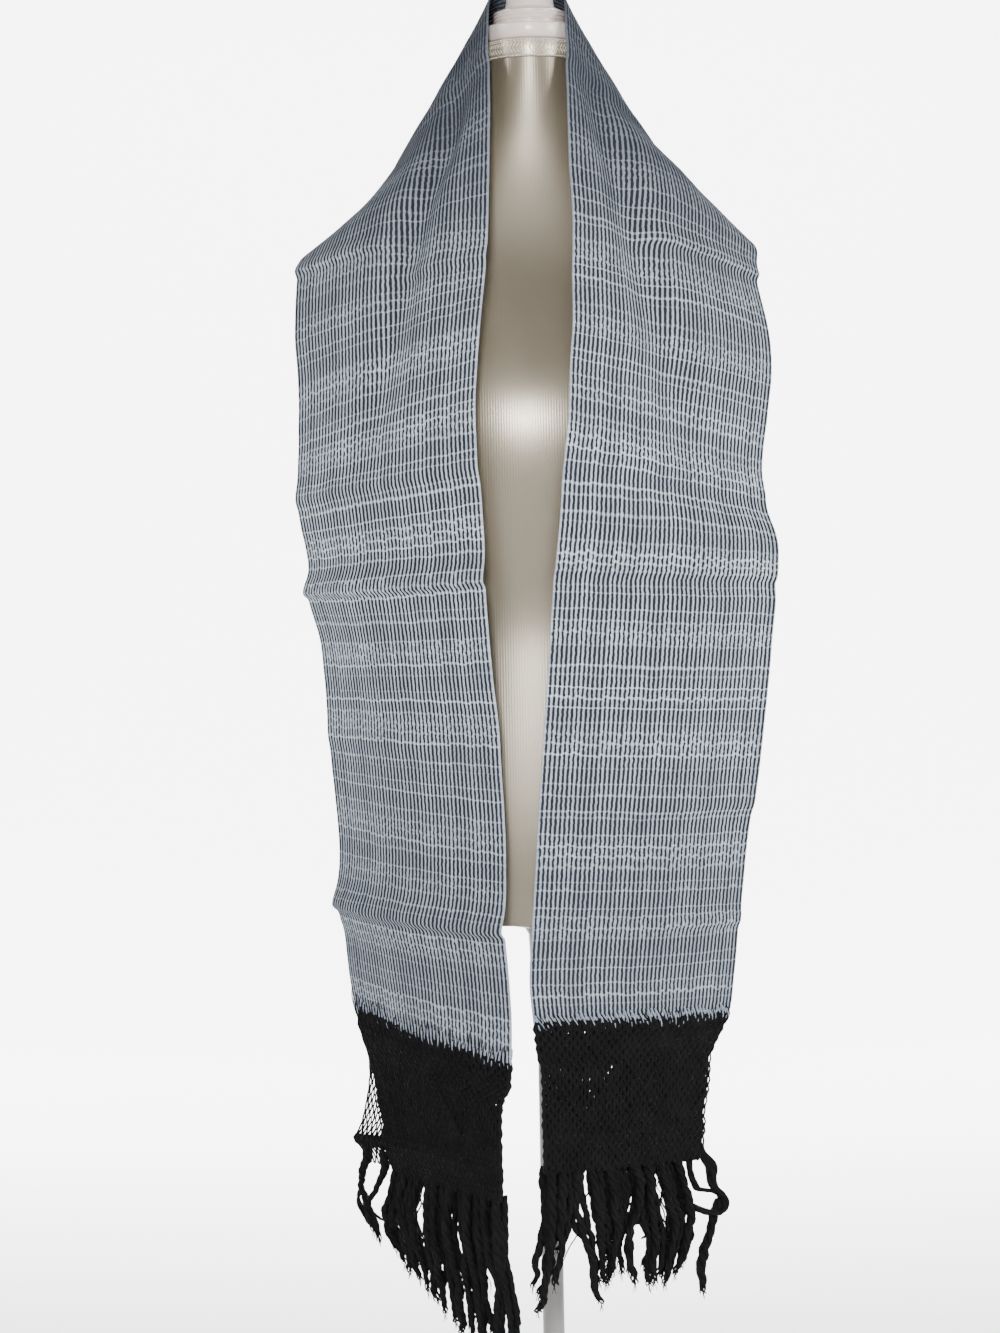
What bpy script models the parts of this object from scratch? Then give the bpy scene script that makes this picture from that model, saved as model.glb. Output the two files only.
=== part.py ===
"""Rebozo shawl hung round the neck of a limbless dress form on a stand.

Metres, +Z up, the front faces -Y. The origin is the centre of the base's underside. The shawl is folded
in half along its length, so its two layers lie together as one wall, with the fold on the inner edges
and both selvedges on the outer edges. Its ends hang in front and it passes behind the neck.
"""

import math

import bmesh
import bpy
from mathutils import Vector

# Shawl
FOLDED_WIDTH = 0.192      # half of the cut width, from the fold to the selvedges
CLOTH_WALL = 0.0026       # two layers of cloth lying together
BORDER_WALL = 0.0030      # two layers of knotted net
FRINGE_WALL = 0.0080      # reach of the loose tassels
FRINGE_PROUD = 0.0020     # the tassels stand this far in front of the net
SEAM_GAP = 0.0003
ROW_STEP = 0.024          # distance between rows of the mesh, along the cloth
SEAM_STEP = 0.002         # the first and last rows are this close, so neighbours meet squarely
COLUMNS = 12              # faces across the cloth
CHEST = Vector((0.0, 0.02, 1.15))  # the cloth bulges away from here, or from the axis below it

# Dress form
FORM_BOTTOM = 0.724
RING_STEP = 0.030
RING_POINTS = 32
RING_SQUARENESS = 2.2     # 2 is an ellipse
NECK_HALF_WIDTH = 0.0390
NECK_HALF_DEPTH = 0.0420
COLLAR_BOTTOM = 1.4300
PLATE_BOTTOM = 1.4467
PLATE_TOP = 1.4597

# Stand
POLE_RADIUS = 0.009
BASE_RADIUS = 0.170
BASE_THICKNESS = 0.018
BASE_EDGE = 0.004
SOCKET_HEIGHT = 0.034
TURN_STEPS = 40

# Rows of the hanging cloth, from the shoulder down. x and y are outwards from the wearer's middle and
# towards the back. in is the folded inner edge and out the selvedges. The outer edge's y follows from
# the width. curl is how far the section turns between its two edges, in degrees.
HANGING_COLUMNS = ("x_in", "y_in", "z_in", "x_out", "z_out", "width", "curl")
LEFT_CLOTH = (
    (-0.0396, -0.107, 1.283, -0.1950, 1.261, FOLDED_WIDTH, 24),
    (-0.0423, -0.116, 1.246, -0.1980, 1.213, FOLDED_WIDTH, 26),
    (-0.0461, -0.122, 1.210, -0.1968, 1.172, FOLDED_WIDTH, 27),
    (-0.0502, -0.127, 1.162, -0.1976, 1.123, FOLDED_WIDTH, 28),
    (-0.0518, -0.129, 1.130, -0.1982, 1.098, FOLDED_WIDTH, 28),
    (-0.0506, -0.129, 1.092, -0.1985, 1.072, FOLDED_WIDTH, 28),
    (-0.0487, -0.129, 1.068, -0.1957, 1.050, FOLDED_WIDTH, 28),
    (-0.0470, -0.128, 1.031, -0.1912, 1.021, FOLDED_WIDTH, 28),
    (-0.0467, -0.127, 1.000, -0.1930, 0.995, FOLDED_WIDTH, 27),
    (-0.0443, -0.127, 0.959, -0.1842, 0.958, FOLDED_WIDTH, 28),
    (-0.0415, -0.126, 0.920, -0.1800, 0.922, FOLDED_WIDTH, 28),
    (-0.0381, -0.126, 0.886, -0.1780, 0.895, FOLDED_WIDTH, 28),
    (-0.0368, -0.125, 0.852, -0.1757, 0.865, FOLDED_WIDTH, 28),
    (-0.0347, -0.124, 0.804, -0.1734, 0.826, FOLDED_WIDTH, 28),
    (-0.0350, -0.123, 0.760, -0.1716, 0.782, FOLDED_WIDTH, 28),
    (-0.0365, -0.122, 0.721, -0.1735, 0.738, FOLDED_WIDTH, 28),
    (-0.0342, -0.121, 0.690, -0.1675, 0.712, 0.190, 28),
    (-0.0320, -0.120, 0.652, -0.1635, 0.680, 0.187, 28),
    (-0.0324, -0.119, 0.616, -0.1595, 0.656, 0.184, 27),
)
LEFT_BORDER = (
    (-0.0324, -0.119, 0.616, -0.1595, 0.656, 0.184, 27),
    (-0.0335, -0.119, 0.600, -0.1515, 0.622, 0.172, 26),
    (-0.0380, -0.119, 0.587, -0.1525, 0.590, 0.168, 26),
    (-0.0385, -0.118, 0.560, -0.1585, 0.560, 0.168, 26),
    (-0.0375, -0.118, 0.545, -0.1625, 0.545, 0.168, 26),
    (-0.0388, -0.118, 0.530, -0.1565, 0.528, 0.166, 26),
)
LEFT_FRINGE = (
    (-0.0388, -0.118, 0.530, -0.1565, 0.528, 0.166, 26),
    (-0.0360, -0.118, 0.480, -0.1600, 0.495, 0.166, 26),
    (-0.0300, -0.118, 0.430, -0.1500, 0.463, 0.164, 26),
    (-0.0300, -0.118, 0.386, -0.1400, 0.432, 0.164, 26),
)
RIGHT_CLOTH = (
    (0.0320, -0.107, 1.290, 0.1823, 1.252, FOLDED_WIDTH, 22),
    (0.0303, -0.116, 1.245, 0.1904, 1.207, FOLDED_WIDTH, 22),
    (0.0297, -0.122, 1.208, 0.1925, 1.170, FOLDED_WIDTH, 22),
    (0.0266, -0.127, 1.172, 0.1883, 1.132, FOLDED_WIDTH, 22),
    (0.0246, -0.129, 1.128, 0.1830, 1.090, FOLDED_WIDTH, 23),
    (0.0199, -0.129, 1.088, 0.1853, 1.058, FOLDED_WIDTH, 23),
    (0.0165, -0.129, 1.048, 0.1926, 1.030, FOLDED_WIDTH, 23),
    (0.0112, -0.128, 1.003, 0.1918, 0.996, FOLDED_WIDTH, 22),
    (0.0084, -0.127, 0.976, 0.1890, 0.968, FOLDED_WIDTH, 22),
    (0.0053, -0.127, 0.938, 0.1850, 0.932, FOLDED_WIDTH, 22),
    (0.0022, -0.126, 0.899, 0.1805, 0.893, FOLDED_WIDTH, 22),
    (-0.0029, -0.125, 0.838, 0.1725, 0.832, FOLDED_WIDTH, 22),
    (-0.0055, -0.124, 0.803, 0.1670, 0.798, FOLDED_WIDTH, 23),
    (-0.0093, -0.123, 0.749, 0.1610, 0.745, FOLDED_WIDTH, 24),
    (-0.0113, -0.122, 0.724, 0.1580, 0.722, FOLDED_WIDTH, 24),
    (-0.0141, -0.120, 0.681, 0.1525, 0.680, 0.190, 24),
    (-0.0119, -0.119, 0.648, 0.1475, 0.646, 0.184, 24),
)
RIGHT_BORDER = (
    (-0.0119, -0.119, 0.648, 0.1475, 0.646, 0.184, 24),
    (-0.0103, -0.119, 0.625, 0.1345, 0.623, 0.170, 22),
    (-0.0095, -0.119, 0.589, 0.1310, 0.589, 0.167, 22),
    (-0.0092, -0.118, 0.559, 0.1262, 0.559, 0.164, 22),
    (-0.0090, -0.118, 0.530, 0.1262, 0.530, 0.164, 22),
)
RIGHT_FRINGE = (
    (-0.0090, -0.118, 0.530, 0.1262, 0.530, 0.164, 22),
    (-0.0110, -0.118, 0.480, 0.1290, 0.485, 0.164, 22),
    (-0.0177, -0.118, 0.416, 0.1220, 0.420, 0.160, 22),
)

# Rows over the shoulder and behind the neck, from the middle of the back to the shoulder. The folded
# edge stands up round the nape and the selvedges lie on the upper back.
OVER_COLUMNS = ("x_in", "y_in", "z_in", "x_out", "y_out", "z_out", "curl")
BACK_MIDDLE = (0.0, 0.050, 1.504, 0.0, 0.097, 1.328, 22)
LEFT_OVER = (
    BACK_MIDDLE,
    (-0.0200, 0.040, 1.501, -0.034, 0.097, 1.327, 22),
    (-0.0330, 0.010, 1.488, -0.070, 0.095, 1.323, 24),
    (-0.0363, -0.026, 1.464, -0.106, 0.088, 1.320, 30),
    (-0.0362, -0.042, 1.428, -0.140, 0.072, 1.308, 32),
    (-0.0364, -0.060, 1.388, -0.170, 0.042, 1.291, 28),
    (-0.0378, -0.084, 1.337, -0.190, 0.012, 1.276, 24),
)
RIGHT_OVER = (
    BACK_MIDDLE,
    (0.0175, 0.040, 1.501, 0.034, 0.097, 1.327, 22),
    (0.0290, 0.010, 1.488, 0.071, 0.095, 1.323, 28),
    (0.0302, -0.030, 1.465, 0.105, 0.088, 1.319, 31),
    (0.0302, -0.044, 1.428, 0.136, 0.070, 1.304, 30),
    (0.0302, -0.062, 1.388, 0.164, 0.040, 1.286, 27),
    (0.0303, -0.086, 1.340, 0.180, 0.012, 1.270, 23),
)

# Soft valleys that run down from the neck. at is the distance along the cloth from the middle of the
# back, across is the share of the width from the fold, and the two ends have no depth.
VALLEY_COLUMNS = ("at", "across", "depth", "half_width")
LEFT_VALLEY = (
    (0.10, 0.18, 0.000, 0.10),
    (0.17, 0.24, 0.006, 0.10),
    (0.24, 0.35, 0.008, 0.10),
    (0.32, 0.41, 0.006, 0.11),
    (0.40, 0.51, 0.000, 0.12),
)
RIGHT_VALLEY = (
    (0.10, 0.14, 0.000, 0.10),
    (0.17, 0.18, 0.006, 0.10),
    (0.24, 0.28, 0.008, 0.11),
    (0.32, 0.38, 0.006, 0.12),
    (0.40, 0.56, 0.000, 0.13),
)

# Half width, front depth and back depth of the torso at each height.
TORSO_COLUMNS = ("z", "half_width", "front", "back")
TORSO = (
    (0.724, 0.127, 0.087, 0.095),
    (0.760, 0.131, 0.090, 0.103),
    (0.800, 0.133, 0.091, 0.107),
    (0.860, 0.128, 0.090, 0.101),
    (0.920, 0.117, 0.088, 0.088),
    (0.970, 0.112, 0.087, 0.080),
    (1.020, 0.117, 0.093, 0.079),
    (1.080, 0.126, 0.103, 0.083),
    (1.130, 0.133, 0.107, 0.088),
    (1.170, 0.138, 0.100, 0.091),
    (1.205, 0.148, 0.087, 0.092),
    (1.230, 0.156, 0.075, 0.091),
    (1.248, 0.156, 0.068, 0.089),
    (1.268, 0.144, 0.062, 0.086),
    (1.292, 0.123, 0.057, 0.080),
    (1.320, 0.099, 0.052, 0.072),
    (1.350, 0.073, 0.048, 0.062),
    (1.380, 0.054, 0.0455, 0.054),
    (1.405, 0.043, 0.0430, 0.0465),
    (COLLAR_BOTTOM - SEAM_GAP, NECK_HALF_WIDTH, NECK_HALF_DEPTH, NECK_HALF_DEPTH),
)


def clear_scene():
    for thing in list(bpy.data.objects):
        bpy.data.objects.remove(thing, do_unlink=True)


def material(name, colour, roughness, metallic=0.0):
    made = bpy.data.materials.new(name)
    made.use_nodes = True
    shader = made.node_tree.nodes["Principled BSDF"]
    shader.inputs["Base Color"].default_value = (*colour, 1.0)
    shader.inputs["Roughness"].default_value = roughness
    shader.inputs["Metallic"].default_value = metallic
    return made


def add_mesh(name, mesh, finish, collection):
    made = bpy.data.objects.new(name, mesh)
    mesh.materials.append(finish)
    collection.objects.link(made)
    return made


def named(columns, rows):
    return [dict(zip(columns, row)) for row in rows]


def smooth_between(before, start, end, after, share):
    """Catmull-Rom value between start and end."""
    return 0.5 * (
        2 * start
        + (end - before) * share
        + (2 * before - 5 * start + 4 * end - after) * share**2
        + (3 * start - before - 3 * end + after) * share**3
    )


def read_rows(rows, key, at):
    """The row at this value of its key column, smoothly between the rows of the table."""
    last = len(rows) - 1
    i = 0
    while i < last - 1 and rows[i + 1][key] < at:
        i += 1
    share = (at - rows[i][key]) / (rows[i + 1][key] - rows[i][key])
    found = {}
    for column in rows[0]:
        values = [rows[max(0, min(last, k))][column] for k in (i - 1, i, i + 1, i + 2)]
        found[column] = smooth_between(*values, share)
    found[key] = at
    return found


def outer_depth(row):
    """How far back the outer edge lies, from the width of the cloth and the places of its edges."""
    half_turn = math.radians(row["curl"]) / 2
    chord = row["width"] * math.sin(half_turn) / half_turn
    across = row["x_out"] - row["x_in"]
    fall = row["z_out"] - row["z_in"]
    return row["y_in"] + math.sqrt(chord**2 - across**2 - fall**2)


def cloth_side(over, *hanging):
    """All rows of one half of the shawl with their distance along it, and where each piece ends."""
    rows = named(OVER_COLUMNS, over)
    ends = []
    for table in hanging:
        for row in named(HANGING_COLUMNS, table if not ends else table[1:]):
            row["y_out"] = outer_depth(row)
            rows.append({column: row[column] for column in OVER_COLUMNS})
        ends.append(len(rows) - 1)
    length = 0.0
    for i, row in enumerate(rows):
        if i:
            length += (middle(row) - middle(rows[i - 1])).length
        row["at"] = length
    first_hanging = len(over)
    return rows, [rows[first_hanging]["at"]] + [rows[i]["at"] for i in ends]


def edge(row, side):
    return Vector((row["x_" + side], row["y_" + side], row["z_" + side]))


def middle(row):
    return (edge(row, "in") + edge(row, "out")) / 2


def valley_depth(valley, at, across):
    if not valley[0]["at"] < at < valley[-1]["at"]:
        return 0.0
    here = read_rows(valley, "at", at)
    return here["depth"] * math.exp(-(((across - here["across"]) / here["half_width"]) ** 2))


def section(rows, valley, at, proud):
    """Points across the cloth's outer face, from the fold to the selvedges."""
    row = read_rows(rows, "at", at)
    ahead = min(at + ROW_STEP / 4, rows[-1]["at"])
    behind = max(at - ROW_STEP / 4, 0.0)
    along = middle(read_rows(rows, "at", ahead)) - middle(read_rows(rows, "at", behind))
    inner, outer = edge(row, "in"), edge(row, "out")
    chord = outer - inner
    out = chord.cross(along).normalized()
    centre = middle(row)
    if out.dot(centre - Vector((CHEST.x, CHEST.y, min(CHEST.z, centre.z)))) < 0:
        out.negate()
    turn = math.radians(row["curl"])
    radius = chord.length / (2 * math.sin(turn / 2))
    points = []
    for i in range(COLUMNS + 1):
        across = i / COLUMNS
        angle = (across - 0.5) * turn
        bulge = radius * (math.cos(angle) - math.cos(turn / 2))
        drawn_in = valley_depth(valley, at, across)
        offset = out * (bulge + proud - drawn_in)
        points.append(centre + chord.normalized() * radius * math.sin(angle) + offset)
    return points


def sheet(name, sections, wall, finish, collection):
    """An open surface through the sections, thickened towards the form."""
    mesh = bpy.data.meshes.new(name)
    surface = bmesh.new()
    lines = [[surface.verts.new(point) for point in points] for points in sections]
    for above, below in zip(lines, lines[1:]):
        for i in range(COLUMNS):
            surface.faces.new((above[i], above[i + 1], below[i + 1], below[i]))
    surface.normal_update()
    centre = sections[len(sections) // 2][COLUMNS // 2]
    nearest = min(surface.faces, key=lambda face: (face.calc_center_median() - centre).length)
    if nearest.normal.dot(centre - Vector((CHEST.x, CHEST.y, min(CHEST.z, centre.z)))) < 0:
        bmesh.ops.reverse_faces(surface, faces=surface.faces[:])
    surface.to_mesh(mesh)
    surface.free()
    mesh.shade_smooth()
    made = add_mesh(name, mesh, finish, collection)
    thick = made.modifiers.new("wall", "SOLIDIFY")
    thick.thickness = wall
    thick.offset = -1.0
    return made


def stretch_sections(side, start, end, proud=0.0):
    rows, valley = side
    start, end = start + SEAM_GAP / 2, end - SEAM_GAP / 2
    first, last = start + SEAM_STEP, end - SEAM_STEP
    count = max(2, round((last - first) / ROW_STEP))
    steps = [start] + [first + (last - first) * i / count for i in range(count + 1)] + [end]
    return [section(rows, valley, at, proud) for at in steps]


def shawl(collection):
    cloth = material("striped_cloth", (0.34, 0.40, 0.47), 0.85)
    net = material("black_net", (0.012, 0.012, 0.013), 0.9)
    sides = {}
    for name, over, tables, valley in (
        ("left", LEFT_OVER, (LEFT_CLOTH, LEFT_BORDER, LEFT_FRINGE), LEFT_VALLEY),
        ("right", RIGHT_OVER, (RIGHT_CLOTH, RIGHT_BORDER, RIGHT_FRINGE), RIGHT_VALLEY),
    ):
        rows, ends = cloth_side(over, *tables)
        side = (rows, named(VALLEY_COLUMNS, valley))
        sides[name] = (side, ends[0])
        front = stretch_sections(side, ends[0], ends[1])
        border = stretch_sections(side, ends[1], ends[2])
        fringe = stretch_sections(side, ends[2], ends[3] + SEAM_GAP / 2, FRINGE_PROUD)
        sheet("cloth_front_" + name, front, CLOTH_WALL, cloth, collection)
        sheet("border_" + name, border, BORDER_WALL, net, collection)
        sheet("fringe_" + name, fringe, FRINGE_WALL, net, collection)
    left_side, left_end = sides["left"]
    right_side, right_end = sides["right"]
    half_gap = SEAM_GAP / 2
    left = stretch_sections(left_side, -half_gap, left_end)
    right = stretch_sections(right_side, -half_gap, right_end)
    sheet("cloth_neck", left[::-1] + right[1:], CLOTH_WALL, cloth, collection)


def ring(z, half_width, front, back, squareness):
    points = []
    for i in range(RING_POINTS):
        angle = 2 * math.pi * i / RING_POINTS
        sine, cosine = math.sin(angle), math.cos(angle)
        depth = back if sine > 0 else front
        x = half_width * math.copysign(abs(cosine) ** (2 / squareness), cosine)
        y = depth * math.copysign(abs(sine) ** (2 / squareness), sine)
        points.append(Vector((x, y, z)))
    return points


def stack(name, rings, finish, collection):
    """A closed solid through level rings, flat at both ends."""
    mesh = bpy.data.meshes.new(name)
    solid = bmesh.new()
    loops = [[solid.verts.new(point) for point in points] for points in rings]
    for below, above in zip(loops, loops[1:]):
        for i in range(RING_POINTS):
            j = (i + 1) % RING_POINTS
            solid.faces.new((below[i], below[j], above[j], above[i]))
    solid.faces.new(loops[0][::-1])
    solid.faces.new(loops[-1])
    solid.to_mesh(mesh)
    solid.free()
    mesh.shade_smooth()
    mesh.set_sharp_from_angle(angle=math.radians(35))
    return add_mesh(name, mesh, finish, collection)


def dress_form(collection):
    jersey = material("cream_jersey", (0.62, 0.58, 0.50), 0.85)
    rows = named(TORSO_COLUMNS, TORSO)
    top = rows[-1]["z"]
    count = round((top - FORM_BOTTOM) / RING_STEP)
    rings = []
    for i in range(count + 1):
        row = read_rows(rows, "z", FORM_BOTTOM + (top - FORM_BOTTOM) * i / count)
        # The neck is a plain ellipse, and the body below it is a little squarer.
        rise = max(0.0, (row["z"] - 1.30) / (top - 1.30))
        squareness = RING_SQUARENESS + (2.0 - RING_SQUARENESS) * rise
        rings.append(ring(row["z"], row["half_width"], row["front"], row["back"], squareness))
    stack("form_torso", rings, jersey, collection)
    neck = (NECK_HALF_WIDTH, NECK_HALF_DEPTH, NECK_HALF_DEPTH, 2.0)
    band = [ring(z, *neck) for z in (COLLAR_BOTTOM, PLATE_BOTTOM - SEAM_GAP)]
    stack("form_collar", band, jersey, collection)


def turned(name, profile, finish, collection):
    """A solid of revolution about Z. The profile runs from the top at the axis to the bottom at the axis."""
    mesh = bpy.data.meshes.new(name)
    mesh.from_pydata([(r, 0, z) for r, z in profile], [(i, i + 1) for i in range(len(profile) - 1)], [])
    made = add_mesh(name, mesh, finish, collection)
    screw = made.modifiers.new("turn", "SCREW")
    screw.axis = "Z"
    screw.angle = 2 * math.pi
    screw.steps = TURN_STEPS
    screw.render_steps = TURN_STEPS
    screw.use_merge_vertices = True
    screw.merge_threshold = 0.0001
    screw.use_smooth_shade = True
    return made


def stand(collection):
    plastic = material("white_plastic", (0.86, 0.84, 0.80), 0.35)
    metal = material("painted_pole", (0.62, 0.60, 0.57), 0.35)
    plate_profile = (
        (0, PLATE_TOP),
        (0.0360, PLATE_TOP),
        (0.0382, PLATE_TOP - 0.0015),
        (0.0385, PLATE_BOTTOM + 0.0015),
        (0.0380, PLATE_BOTTOM),
        (0, PLATE_BOTTOM),
    )
    turned("neck_plate", plate_profile, plastic, collection)
    foot = PLATE_TOP + SEAM_GAP
    cap_profile = (
        (0, foot + 0.0310),
        (0.0120, foot + 0.0300),
        (0.0180, foot + 0.0265),
        (0.0198, foot + 0.0210),
        (0.0205, foot + 0.0160),
        (0.0290, foot + 0.0120),
        (0.0305, foot + 0.0100),
        (0.0305, foot),
        (0, foot),
    )
    turned("neck_cap", cap_profile, plastic, collection)
    socket_top = FORM_BOTTOM - SEAM_GAP
    socket_bottom = socket_top - SOCKET_HEIGHT
    socket_profile = (
        (0, socket_top),
        (0.034, socket_top),
        (0.034, socket_top - 0.004),
        (0.016, socket_top - 0.008),
        (0.014, socket_bottom),
        (0, socket_bottom),
    )
    turned("pole_socket", socket_profile, metal, collection)
    hub_top = BASE_THICKNESS + 0.030
    pole_profile = (
        (0, socket_bottom - SEAM_GAP),
        (POLE_RADIUS, socket_bottom - SEAM_GAP),
        (POLE_RADIUS, hub_top + SEAM_GAP),
        (0, hub_top + SEAM_GAP),
    )
    turned("pole", pole_profile, metal, collection)
    base_profile = (
        (0, hub_top),
        (0.014, hub_top),
        (0.016, hub_top - 0.003),
        (0.018, BASE_THICKNESS + 0.006),
        (0.030, BASE_THICKNESS),
        (BASE_RADIUS - BASE_EDGE, BASE_THICKNESS - 0.006),
        (BASE_RADIUS, BASE_THICKNESS - 0.010),
        (BASE_RADIUS, 0.002),
        (BASE_RADIUS - 0.002, 0),
        (0, 0),
    )
    turned("stand_base", base_profile, metal, collection)


def main():
    clear_scene()
    collection = bpy.data.collections.new("rebozo_on_dress_form")
    bpy.context.scene.collection.children.link(collection)
    shawl(collection)
    dress_form(collection)
    stand(collection)


main()
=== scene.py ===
"""Looks of a rebozo shawl hung round the neck of a limbless dress form on a pole stand."""

import bisect
import math
import random

import bmesh
import bpy
from mathutils import Matrix, Vector, noise


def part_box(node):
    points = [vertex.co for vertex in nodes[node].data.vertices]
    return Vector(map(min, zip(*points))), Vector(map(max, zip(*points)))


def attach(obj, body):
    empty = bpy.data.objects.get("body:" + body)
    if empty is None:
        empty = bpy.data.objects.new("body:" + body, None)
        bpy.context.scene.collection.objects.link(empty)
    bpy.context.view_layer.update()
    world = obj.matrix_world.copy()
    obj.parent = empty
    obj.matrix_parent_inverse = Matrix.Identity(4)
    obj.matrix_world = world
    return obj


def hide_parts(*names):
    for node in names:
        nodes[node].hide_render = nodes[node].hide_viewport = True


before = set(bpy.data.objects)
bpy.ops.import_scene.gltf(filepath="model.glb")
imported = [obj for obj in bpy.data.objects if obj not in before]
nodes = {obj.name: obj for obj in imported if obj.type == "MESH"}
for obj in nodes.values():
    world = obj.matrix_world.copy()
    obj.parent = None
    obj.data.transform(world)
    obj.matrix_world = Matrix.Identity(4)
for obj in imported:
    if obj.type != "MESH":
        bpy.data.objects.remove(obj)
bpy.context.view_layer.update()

scene = bpy.context.scene

# ---
# Studio: a pale floor that runs up behind into a pale backdrop, a softbox in front and a little above,
# and weaker ones at the sides. The camera stands level with the middle of the shawl.

CAMERA_DISTANCE = 3.2
CAMERA_HEIGHT = 0.933
CAMERA_OFFSET = -0.0345
CAMERA_TILT = math.radians(1.05)
CAMERA_LENS = 104.65
CAMERA_FILM = 36.0

SWEEP_HALF_WIDTH = 18.0
SWEEP_FRONT = -18.0
SWEEP_BACK = 10.0
SWEEP_RADIUS = 3.0
SWEEP_HEIGHT = 8.0
SWEEP_STEPS = 12

WORLD_COLOUR = (0.97, 0.98, 1.0, 1)
WORLD_STRENGTH = 0.3

camera_data = bpy.data.cameras.new("camera")
camera_data.sensor_fit = "VERTICAL"
camera_data.sensor_height = CAMERA_FILM
camera_data.lens = CAMERA_LENS
camera = bpy.data.objects.new("camera", camera_data)
camera.location = (CAMERA_OFFSET, -CAMERA_DISTANCE, CAMERA_HEIGHT)
camera.rotation_euler = (math.pi / 2, CAMERA_TILT, 0)
scene.collection.objects.link(camera)
scene.camera = camera


class Amount:
    """What a material works out at each point. Amounts add and multiply as plain numbers do."""

    def __init__(self, socket):
        self.socket = socket
        self.tree = socket.id_data

    def __add__(self, other):
        return maths("ADD", self, other)

    def __sub__(self, other):
        return maths("SUBTRACT", self, other)

    def __rsub__(self, other):
        return maths("SUBTRACT", other, self)

    def __mul__(self, other):
        return maths("MULTIPLY", self, other)

    def __truediv__(self, other):
        return maths("DIVIDE", self, other)


def feed(socket, value):
    """Gives a socket a number, a colour, or an amount by a link."""
    if isinstance(value, Amount):
        value.tree.links.new(value.socket, socket)
    elif isinstance(value, tuple):
        socket.default_value = (*value, 1)
    else:
        socket.default_value = value


def pattern(tree, kind, output, inputs=None, **settings):
    """An amount from a new node with these inputs and settings."""
    made = tree.nodes.new("ShaderNode" + kind)
    for name, value in settings.items():
        setattr(made, name, value)
    for name, value in (inputs or {}).items():
        feed(made.inputs[name], value)
    return Amount(made.outputs[output])


def maths(operation, *values):
    """An amount worked out from amounts and numbers."""
    tree = next(value.tree for value in values if isinstance(value, Amount))
    return pattern(tree, "Math", 0, dict(enumerate(values)), operation=operation)


def plain_material(name, colour, roughness, more=None):
    """A material with its node tree and shader. A pattern fed in later takes the colour's place."""
    made = bpy.data.materials.new(name)
    made.use_nodes = True
    shader = made.node_tree.nodes["Principled BSDF"]
    for socket, value in {"Base Color": colour, "Roughness": roughness, **(more or {})}.items():
        feed(shader.inputs[socket], value)
    return made, made.node_tree, shader


def finish_mesh(name, shape, finish):
    """An object of this shape and finish."""
    mesh = bpy.data.meshes.new(name)
    shape.to_mesh(mesh)
    shape.free()
    mesh.materials.append(finish)
    mesh.shade_smooth()
    made = bpy.data.objects.new(name, mesh)
    scene.collection.objects.link(made)
    return made


sweep_paint, _, _ = plain_material("studio_paper", (0.93, 0.93, 0.93), 0.9)
sweep = bmesh.new()
profile = [sweep.verts.new((-SWEEP_HALF_WIDTH, SWEEP_FRONT, 0))]
for step in range(SWEEP_STEPS + 1):
    turn = math.radians(90) * step / SWEEP_STEPS
    back = SWEEP_BACK - SWEEP_RADIUS + SWEEP_RADIUS * math.sin(turn)
    profile.append(sweep.verts.new((-SWEEP_HALF_WIDTH, back, SWEEP_RADIUS * (1 - math.cos(turn)))))
profile.append(sweep.verts.new((-SWEEP_HALF_WIDTH, SWEEP_BACK, SWEEP_HEIGHT)))
lines = [sweep.edges.new(pair) for pair in zip(profile, profile[1:])]
wide = bmesh.ops.extrude_edge_only(sweep, edges=lines)
moved = [v for v in wide["geom"] if isinstance(v, bmesh.types.BMVert)]
bmesh.ops.translate(sweep, vec=(2 * SWEEP_HALF_WIDTH, 0, 0), verts=moved)
bmesh.ops.recalc_face_normals(sweep, faces=sweep.faces[:])
floor = finish_mesh("studio_floor", sweep, sweep_paint)

# Each light's name, place, target, width across and power. The backdrop has its own three.
for name, place, target, size, power in (
    ("front_light", (-0.3, -3.45, 1.72), (0, 0, 1.05), 0.6, 109),
    ("side_light_left", (-3.3, -1.25, 2.3), (0, 0, 1.0), 0.9, 30),
    ("side_light_right", (2.7, -2.1, 1.7), (0, 0, 1.0), 0.9, 74),
    ("top_light", (0.1, -1.0, 4.2), (0, 0, 1.1), 1.0, 5),
    ("backdrop_light_left", (-3.6, 5.0, 3.4), (0.8, 10.0, 0.6), 1.5, 1000),
    ("backdrop_light_right", (3.6, 5.0, 3.4), (-0.8, 10.0, 0.6), 1.5, 1000),
    ("backdrop_light_top", (0.0, 3.4, 4.6), (0.0, 7.6, 0.2), 1.5, 800),
    ("back_light", (0.4, 3.6, 3.2), (0, 0, 1.0), 1.6, 34),
):
    data = bpy.data.lights.new(name, "AREA")
    data.shape = "DISK"
    data.size = size
    data.energy = power
    lamp = bpy.data.objects.new(name, data)
    lamp.location = place
    lamp.rotation_euler = (Vector(target) - Vector(place)).to_track_quat("-Z", "Y").to_euler()
    lamp.visible_camera = False
    scene.collection.objects.link(lamp)

world = bpy.data.worlds.new("studio")
world.use_nodes = True
sky = world.node_tree.nodes["Background"]
sky.inputs["Color"].default_value = WORLD_COLOUR
sky.inputs["Strength"].default_value = WORLD_STRENGTH
scene.world = world

# ---
# Stand: a spun steel base with a short hub, a painted steel tube, and the flanged socket under the
# torso that the tube plugs into. Each is turned, with its edges rounded, and sprayed satin greige.

ROUND_STEPS = 96
RIM_ANGLE = math.radians(40)
SHARP_ANGLE = math.radians(50)


def round_rims(shape, angle, bevel):
    """Rounds the edges that turn by more than this angle."""
    sharp = [e for e in shape.edges if e.calc_face_angle(0) > angle]
    bmesh.ops.bevel(
        shape, geom=sharp, offset=bevel, affect="EDGES", segments=3, profile=0.5, material=-1,
        clamp_overlap=True,
    )


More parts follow.
